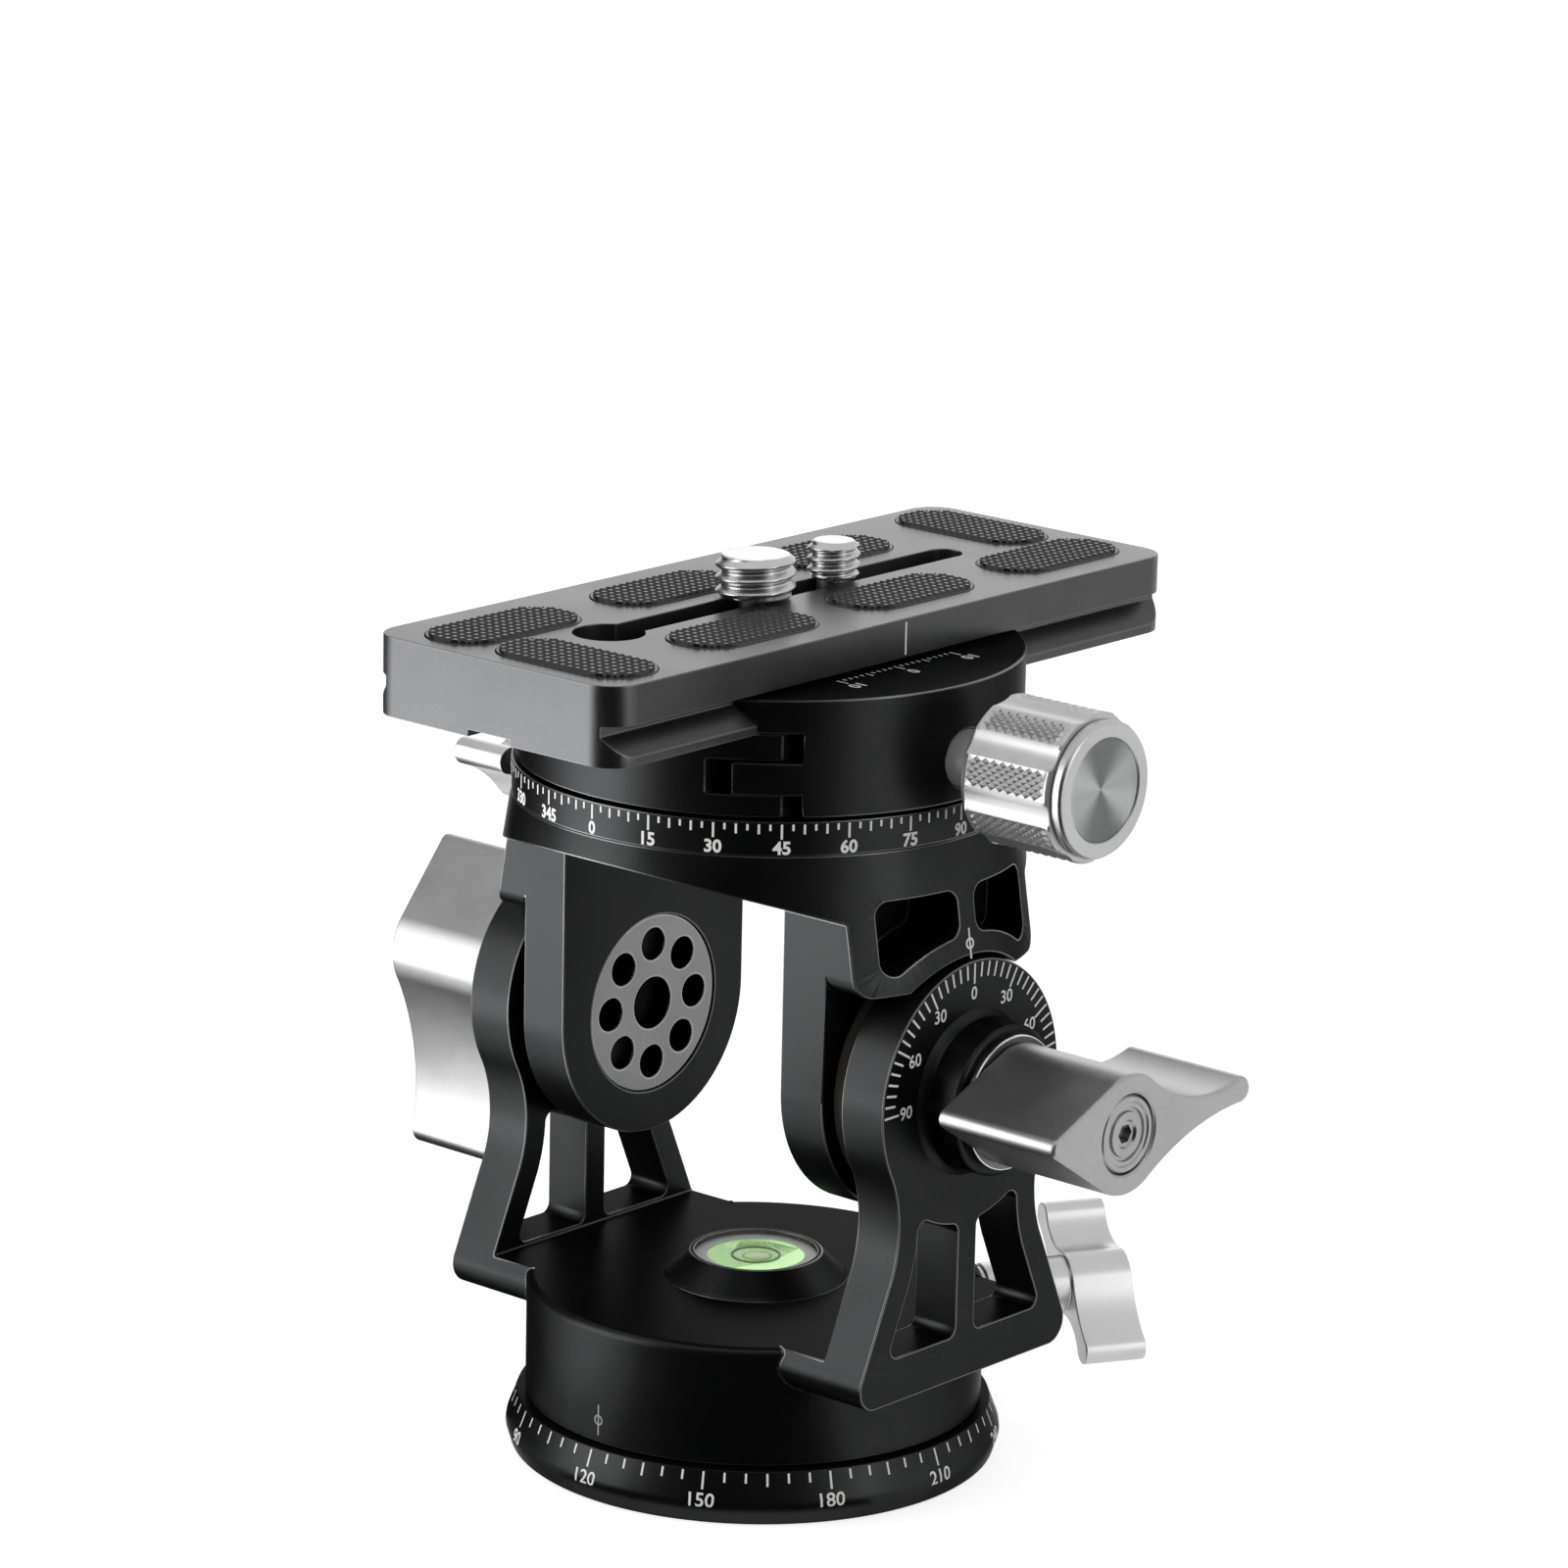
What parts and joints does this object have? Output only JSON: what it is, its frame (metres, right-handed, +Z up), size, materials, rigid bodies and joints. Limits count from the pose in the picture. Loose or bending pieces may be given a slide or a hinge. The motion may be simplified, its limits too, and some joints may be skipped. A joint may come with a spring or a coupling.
{
  "type": "two-way pan tilt head",
  "caption": "Tripod head with a yoke that pans on a round base, a tilting bracket with lock and friction levers, and a panning quick release clamp with a long plate.",
  "frame": {"origin": "middle of the underside, on the pan axis, at the mouth of the tripod thread", "axes": "+Z up along the pan axis, X along the tilt axis with the lock lever on +X, Y along the plate"},
  "size_m": [0.1107, 0.0992, 0.1102],
  "materials": {
    "black_anodised": "satin blasted",
    "silver_blasted": "satin blasted",
    "steel": "turned",
    "turned_aluminium": "turned rings",
    "grey_insert": "satin",
    "friction_liner": "matte",
    "bronze": "satin",
    "rubber": "pyramid pattern",
    "fluid": "clear green",
    "lens": "clear",
    "bearing_plastic": "smooth"
  },
  "bodies": {
    "base": {"base_dial": "black_anodised", "base_disc": "black_anodised", "thread_bush": "black_anodised", "base_screw_a": "steel", "base_screw_b": "steel", "base_screw_c": "steel", "base_spindle": "steel"},
    "yoke_body": {"yoke": "black_anodised", "pan_retainer": "steel", "bubble_cup": "black_anodised", "bubble_fluid": "fluid", "bubble_lens": "lens", "base_lock_shoe": "bronze", "lock_collar": "black_anodised", "drag_collar": "black_anodised", "lock_liner": "friction_liner", "drag_liner": "friction_liner"},
    "base_lock": {"base_lock_lever": "silver_blasted", "base_lock_stud": "steel"},
    "tilt_lock": {"lock_lever": "silver_blasted", "lock_ring": "steel", "lock_stud": "steel", "lock_cap": "turned_aluminium"},
    "tilt_drag": {"drag_lever": "silver_blasted", "drag_ring": "steel", "drag_stud": "steel", "drag_cap": "turned_aluminium"},
    "bracket_body": {"bracket": "black_anodised", "lock_spider": "grey_insert", "drag_spider": "grey_insert", "lock_axle": "steel", "drag_axle": "steel", "lock_brake": "friction_liner", "drag_brake": "friction_liner", "pan_scale": "black_anodised", "pan_lock_shoe": "bronze", "bearing_washer": "bearing_plastic"},
    "pan_lock": {"pan_lock_lever": "silver_blasted", "pan_lock_stud": "steel"},
    "clamp": {"clamp_body": "black_anodised", "clamp_spindle": "steel", "spindle_disc": "steel", "spindle_screw": "steel", "guide_pin_a": "steel", "guide_pin_b": "steel"},
    "jaw_body": {"jaw": "black_anodised"},
    "knob": {"clamp_knob": "silver_blasted", "clamp_screw": "steel", "knob_disc": "turned_aluminium"},
    "plate_body": {"plate": "black_anodised", "pad_a": "rubber", "pad_b": "rubber", "pad_c": "rubber", "pad_d": "rubber", "pad_e": "rubber", "pad_f": "rubber", "pad_g": "rubber", "pad_h": "rubber"},
    "large_screw_body": {"large_screw": "steel"},
    "small_screw_body": {"small_screw": "steel"}
  },
  "joints": [
    {"name": "base_pan", "type": "hinge", "parent": "base", "child": "yoke_body", "pos_m": [0, 0, 0], "axis": [0, 0, 1], "continuous": true},
    {"name": "base_lock_turn", "type": "hinge", "parent": "yoke_body", "child": "base_lock", "pos_m": [0, 0, 0.0162], "axis": [0.5, 0.866, 0], "range_deg": [-60, 60]},
    {"name": "tilt_lock_turn", "type": "hinge", "parent": "yoke_body", "child": "tilt_lock", "pos_m": [0, 0, 0.0513], "axis": [1, 0, 0], "range_deg": [-60, 60]},
    {"name": "tilt_drag_turn", "type": "hinge", "parent": "yoke_body", "child": "tilt_drag", "pos_m": [0, 0, 0.0513], "axis": [-1, 0, 0], "range_deg": [-60, 60]},
    {"name": "tilt", "type": "hinge", "parent": "yoke_body", "child": "bracket_body", "pos_m": [0, 0, 0.0513], "axis": [1, 0, 0], "range_deg": [-75, 75]},
    {"name": "pan_lock_turn", "type": "hinge", "parent": "bracket_body", "child": "pan_lock", "pos_m": [-0.03, 0, 0.0767], "axis": [-1, 0, 0], "range_deg": [-60, 15]},
    {"name": "top_pan", "type": "hinge", "parent": "bracket_body", "child": "clamp", "pos_m": [0, 0, 0.0857], "axis": [0, 0, 1], "continuous": true},
    {"name": "jaw_slide", "type": "slide", "parent": "clamp", "child": "jaw_body", "axis": [1, 0, 0], "range_m": [0, 0.003]},
    {"name": "knob_turn", "type": "hinge", "parent": "jaw_body", "child": "knob", "pos_m": [0.03, 0, 0.0908], "axis": [1, 0, 0], "range_deg": [0, 1080]},
    {"name": "plate_slide", "type": "slide", "parent": "clamp", "child": "plate_body", "axis": [0, 1, 0], "range_m": [-0.03, 0.03]},
    {"name": "large_screw_slide", "type": "slide", "parent": "plate_body", "child": "large_screw_body", "axis": [0, 1, 0], "range_m": [-0.018, 0]},
    {"name": "small_screw_slide", "type": "slide", "parent": "plate_body", "child": "small_screw_body", "axis": [0, 1, 0], "range_m": [0, 0.018]}
  ],
  "couplings": [
    {"joint": "knob_turn", "follows": "jaw_slide", "rad_per_m": 6283.2}
  ]
}
